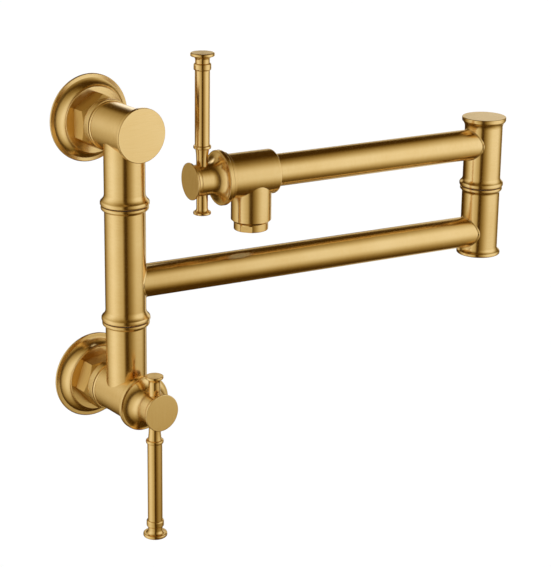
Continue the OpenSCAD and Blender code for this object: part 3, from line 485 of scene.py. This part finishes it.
# ---------------------------------------------------------------------------
# Column bodies and end cap
# Two brass castings, turned on the barrel and on the column tube and brushed round
# both. The upper one is closed by a round cap screwed in from the front.
# ---------------------------------------------------------------------------
ACROSS_WALL, UPRIGHT = (1.0, 0.0, 0.0), (0.0, 0.0, 1.0)
STREAKS_ALONG = 80.0                 # changes of a streak in a metre along a flat cap
COLUMN_REACH = 0.0452
TUBE_RADIUS = 0.014
BARREL_RADIUS = 0.016


def crossing_gold(name, line, size, line_2, size_2, polish):
    """Gold on two crossing tubes, each brushed round its own line. A point belongs to
    the tube whose size it is nearer to."""
    finish, tree, shader, place = new_finish(name)
    tangent, streaks, radius = around(tree, place, *line)
    tangent_2, streaks_2, radius_2 = around(tree, place, *line_2)
    off_first = math_node(tree, "ABSOLUTE", math_node(tree, "SUBTRACT", radius, size))
    off_second = math_node(tree, "ABSOLUTE", math_node(tree, "SUBTRACT", radius_2, size_2))
    nearer = math_node(tree, "GREATER_THAN", off_first, off_second)
    tangent = add_node(tree, "ShaderNodeMix", data_type="VECTOR", inputs={
        0: nearer, 4: tangent, 5: tangent_2}).outputs[1]
    streaks = add_node(tree, "ShaderNodeMix", data_type="VECTOR", inputs={
        0: nearer, 4: streaks, 5: streaks_2}).outputs[1]
    brush_metal(tree, shader, place, tangent, streaks, GOLD_TONES, polish)
    return finish


def face_gold(name, way):
    """Gold on a flat cap, brushed straight along one way."""
    finish, tree, shader, place = new_finish(name)
    way = Vector(way).normalized()
    tangent = vector_node(tree, "CROSS_PRODUCT", way, place.outputs["Normal"])
    along = vector_node(tree, "DOT_PRODUCT", place.outputs["Object"], way)
    fine = scaled(tree, place.outputs["Object"], STREAKS_ACROSS)
    back = scaled(tree, way, math_node(tree, "MULTIPLY", along, STREAKS_ALONG - STREAKS_ACROSS))
    brush_metal(tree, shader, place, tangent, vector_node(tree, "ADD", fine, back),
                *BRUSHED_GOLD)
    return finish


column = ((0.0, -COLUMN_REACH, 0.0), UPRIGHT)
for name, line, piece in (("lower_body_gold", lower_line, "lower_valve_body"),
                          ("upper_body_gold", upper_line, "upper_column_body")):
    dress(crossing_gold(name, column, TUBE_RADIUS, line, BARREL_RADIUS, GOLD_POLISH), piece)
dress(face_gold("upper_cap_gold", ACROSS_WALL), "upper_end_cap")


# ---------------------------------------------------------------------------
# Column spindle, O-rings and slip rings
# A ported brass spindle ties the two bodies together. Black O-rings and nylon slip
# rings seal and space the sleeve that turns on it.
# ---------------------------------------------------------------------------
dark_nylon = moulded("dark_nylon", (0.035, 0.026, 0.018), (0.06, 0.045, 0.03))
dress(turned_metal("column_brass", column, *BARE_BRASS), "column_spindle")
dress(black_rubber, "column_o_rings")
dress(dark_nylon, "column_slip_rings")


# ---------------------------------------------------------------------------
# Column sleeve and first arm
# The sleeve is a turned brass tube with flared ends. The arm is drawn tube, coped
# and silver soldered to it with a thin hollow fillet, and both are brushed and plated.
# ---------------------------------------------------------------------------
ARM_RADIUS = 0.0114
ARM_1_HEIGHT = 0.080
SOLDER_LEG = 0.0005                  # how far the solder runs out of the corner
SOLDER_BITE = 0.0001                 # and how far it reaches into both tubes
HOLLOW = 0.9                         # share of the leg that is hollowed
FILLET_BLANK, BARREL_CUT, ARM_CUT = 0.032, 0.04, 0.05      # lengths of the bars
ON_EDGE = 0.00001                    # nearer than this to an edge counts as on it


def round_bar(name, radius, middle, way, length):
    """A plain bar through a point."""
    bpy.ops.object.select_all(action="DESELECT")
    bpy.ops.mesh.primitive_cylinder_add(vertices=160, radius=radius, depth=length,
                                        location=middle,
                                        rotation=way.to_track_quat("Z", "Y").to_euler())
    bar = bpy.context.object
    bar.name = name
    bpy.ops.object.transform_apply(location=True, rotation=True, scale=True)
    return bar


def solder_fillet(name, middle, arm_way, body, finish):
    """The ring of solder in the corner between an upright barrel and an arm."""
    upright = Vector(UPRIGHT)
    reach = TUBE_RADIUS + 2 * SOLDER_LEG
    outer_barrel, outer_arm = TUBE_RADIUS + SOLDER_LEG, ARM_RADIUS + SOLDER_LEG
    inner_barrel, inner_arm = TUBE_RADIUS - SOLDER_BITE, ARM_RADIUS - SOLDER_BITE
    fillet = round_bar(name, outer_barrel, middle, upright, FILLET_BLANK)
    arm_side = round_bar("arm_side", outer_arm, middle + arm_way * reach / 2, arm_way, reach)
    combine(fillet, arm_side, "INTERSECT")
    combine(fillet, round_bar("barrel_cut", inner_barrel, middle, upright, BARREL_CUT),
            "DIFFERENCE")
    combine(fillet, round_bar("arm_cut", inner_arm, middle, arm_way, ARM_CUT), "DIFFERENCE")

    # The outer edge, which lies on both outer bars, is hollowed.
    for part in (*fillet.data.vertices, *fillet.data.polygons):
        part.select = False
    for edge in fillet.data.edges:
        ends = [fillet.data.vertices[end].co - middle for end in edge.vertices]
        edge.select = all(end.xy.length > outer_barrel - ON_EDGE
                          and end.cross(arm_way).length > outer_arm - ON_EDGE for end in ends)
    bpy.ops.object.mode_set(mode="EDIT")
    bpy.ops.mesh.select_mode(type="EDGE")
    bpy.ops.mesh.bevel(offset=HOLLOW * SOLDER_LEG, segments=3, profile=0.25,
                       clamp_overlap=False)
    join_points(ON_EDGE)
    bpy.ops.object.mode_set(mode="OBJECT")
    bpy.ops.object.shade_smooth_by_angle(angle=math.radians(50))
    fillet.data.materials.clear()
    fillet.data.materials.append(finish)
    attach(fillet, body)


elbow = ((0.287574, -0.089719, 0.0), UPRIGHT)
arm_1_way = (Vector(elbow[0]) - Vector(column[0])).normalized()
arm_1_start = Vector((column[0][0], column[0][1], ARM_1_HEIGHT))
arm_1_end = Vector((elbow[0][0], elbow[0][1], ARM_1_HEIGHT))
arm_1_gold = turned_metal("arm_1_gold", (arm_1_start, arm_1_way), *BRUSHED_GOLD)
dress(turned_metal("sleeve_gold", column, *BRUSHED_GOLD), "column_sleeve")
dress(arm_1_gold, "first_arm_tube")
solder_fillet("sleeve_solder", arm_1_start, arm_1_way, "arm_1", arm_1_gold)


# ---------------------------------------------------------------------------
# Elbow
# Two turned barrels on a brass spindle. The lower one is soldered to the first arm
# and closed by a socket plug, the upper one is kept on by a slotted nut and closed by
# a thin flat cap.
# ---------------------------------------------------------------------------
elbow_gold = turned_metal("elbow_gold", elbow, *BRUSHED_GOLD)
dress(elbow_gold, "elbow_lower_barrel", "elbow_bottom_plug", "elbow_upper_barrel")
solder_fillet("lower_elbow_solder", arm_1_end, -arm_1_way, "arm_1", arm_1_gold)
dress(face_gold("elbow_cap_gold", ACROSS_WALL), "elbow_top_cap")
dress(turned_metal("elbow_brass", elbow, *BARE_BRASS), "elbow_spindle", "elbow_retaining_nut")
dress(black_rubber, "elbow_o_rings")
dress(dark_nylon, "elbow_slip_ring")


# ---------------------------------------------------------------------------
# Second arm and outlet body
# A drawn tube like the first, soldered to the upper elbow barrel and into a cast
# body that was turned round the arm and round the spout.
# ---------------------------------------------------------------------------
ARM_2_HEIGHT = 0.1474
SPOUT_REACH = 0.1975
OUTLET_RADIUS = 0.0156
SPOUT_RADIUS = 0.0141
OUTLET_POLISH = (0.19, 0.27, 0.6)

arm_2_way = Vector((-0.99144, 0.13053, 0.0))
arm_2_start = Vector((elbow[0][0], elbow[0][1], ARM_2_HEIGHT))
valve_line = (arm_2_start, arm_2_way)
spout = (arm_2_start + SPOUT_REACH * arm_2_way, UPRIGHT)
arm_2_gold = turned_metal("arm_2_gold", valve_line, *BRUSHED_GOLD)
dress(arm_2_gold, "second_arm_tube")
solder_fillet("upper_elbow_solder", arm_2_start, arm_2_way, "arm_2", arm_2_gold)
dress(crossing_gold("outlet_gold", valve_line, OUTLET_RADIUS, spout, SPOUT_RADIUS,
                    OUTLET_POLISH), "outlet_body")


# ---------------------------------------------------------------------------
# Aerator
# A polished gold ring with two flats for a key, screwed up into the spout, with a
# rubber washer above it and a white honeycomb moulding inside.
# ---------------------------------------------------------------------------
POLISHED_GOLD = (((0.76, 0.52, 0.20), (0.82, 0.58, 0.25)), (0.15, 0.22, 0.5))

white_plastic = moulded("white_plastic", (0.70, 0.70, 0.68), (0.80, 0.80, 0.78))
dress(turned_metal("aerator_gold", spout, *POLISHED_GOLD), "aerator_ring")
dress(black_rubber, "aerator_washer")
dress(white_plastic, "aerator_insert")


# ---------------------------------------------------------------------------
# Valve cartridges
# Brass housings with a rubber seat, two lapped ceramic discs and a splined stem
# that turns the front disc.
# ---------------------------------------------------------------------------
ceramic = moulded("ceramic", (0.74, 0.73, 0.69), (0.82, 0.81, 0.78))
for valve, line in (("lower", lower_line), ("outlet", valve_line)):
    dress(turned_metal(valve + "_valve_brass", line, *BARE_BRASS), valve + "_cartridge",
          valve + "_valve_stem")
    dress(black_rubber, valve + "_cartridge_seal", valve + "_stem_o_ring")
    dress(ceramic, valve + "_fixed_disc", valve + "_turning_disc")


# ---------------------------------------------------------------------------
# Levers
# A hub with a trumpet flange, brushed round and held on the stem by a steel screw
# under its cap. The cap face is brushed straight; handle and stub are polished.
# ---------------------------------------------------------------------------
PLAIN_STEEL = (((0.50, 0.51, 0.52), (0.62, 0.63, 0.64)), (0.25, 0.4, 0.4))
LOWER_VALVE_FACE = 0.0643            # front of the lower valve body, from the wall
OUTLET_VALVE_FACE = 0.0227           # end of the outlet body, from the spout
LEVER_REACH = 0.0152 + 0.0005        # handle from its face: its place on the hub, the gap

lower_lever = (Vector((0.0, -LOWER_VALVE_FACE - LEVER_REACH, 0.0)), UPRIGHT)
outlet_lever = (arm_2_start + (SPOUT_REACH + OUTLET_VALVE_FACE + LEVER_REACH) * arm_2_way,
                UPRIGHT)
dress(lower_gold, "lower_lever_hub")
dress(turned_metal("outlet_hub_gold", valve_line, *BRUSHED_GOLD), "outlet_lever_hub")
for valve, line, lever in (("lower", lower_line, lower_lever),
                           ("outlet", valve_line, outlet_lever)):
    dress(turned_metal(valve + "_screw_steel", line, *PLAIN_STEEL), valve + "_hub_screw")
    dress(face_gold(valve + "_cap_gold", UPRIGHT), valve + "_hub_cap")
    dress(turned_metal(valve + "_lever_gold", lever, *POLISHED_GOLD), valve + "_lever_handle",
          valve + "_lever_stub")
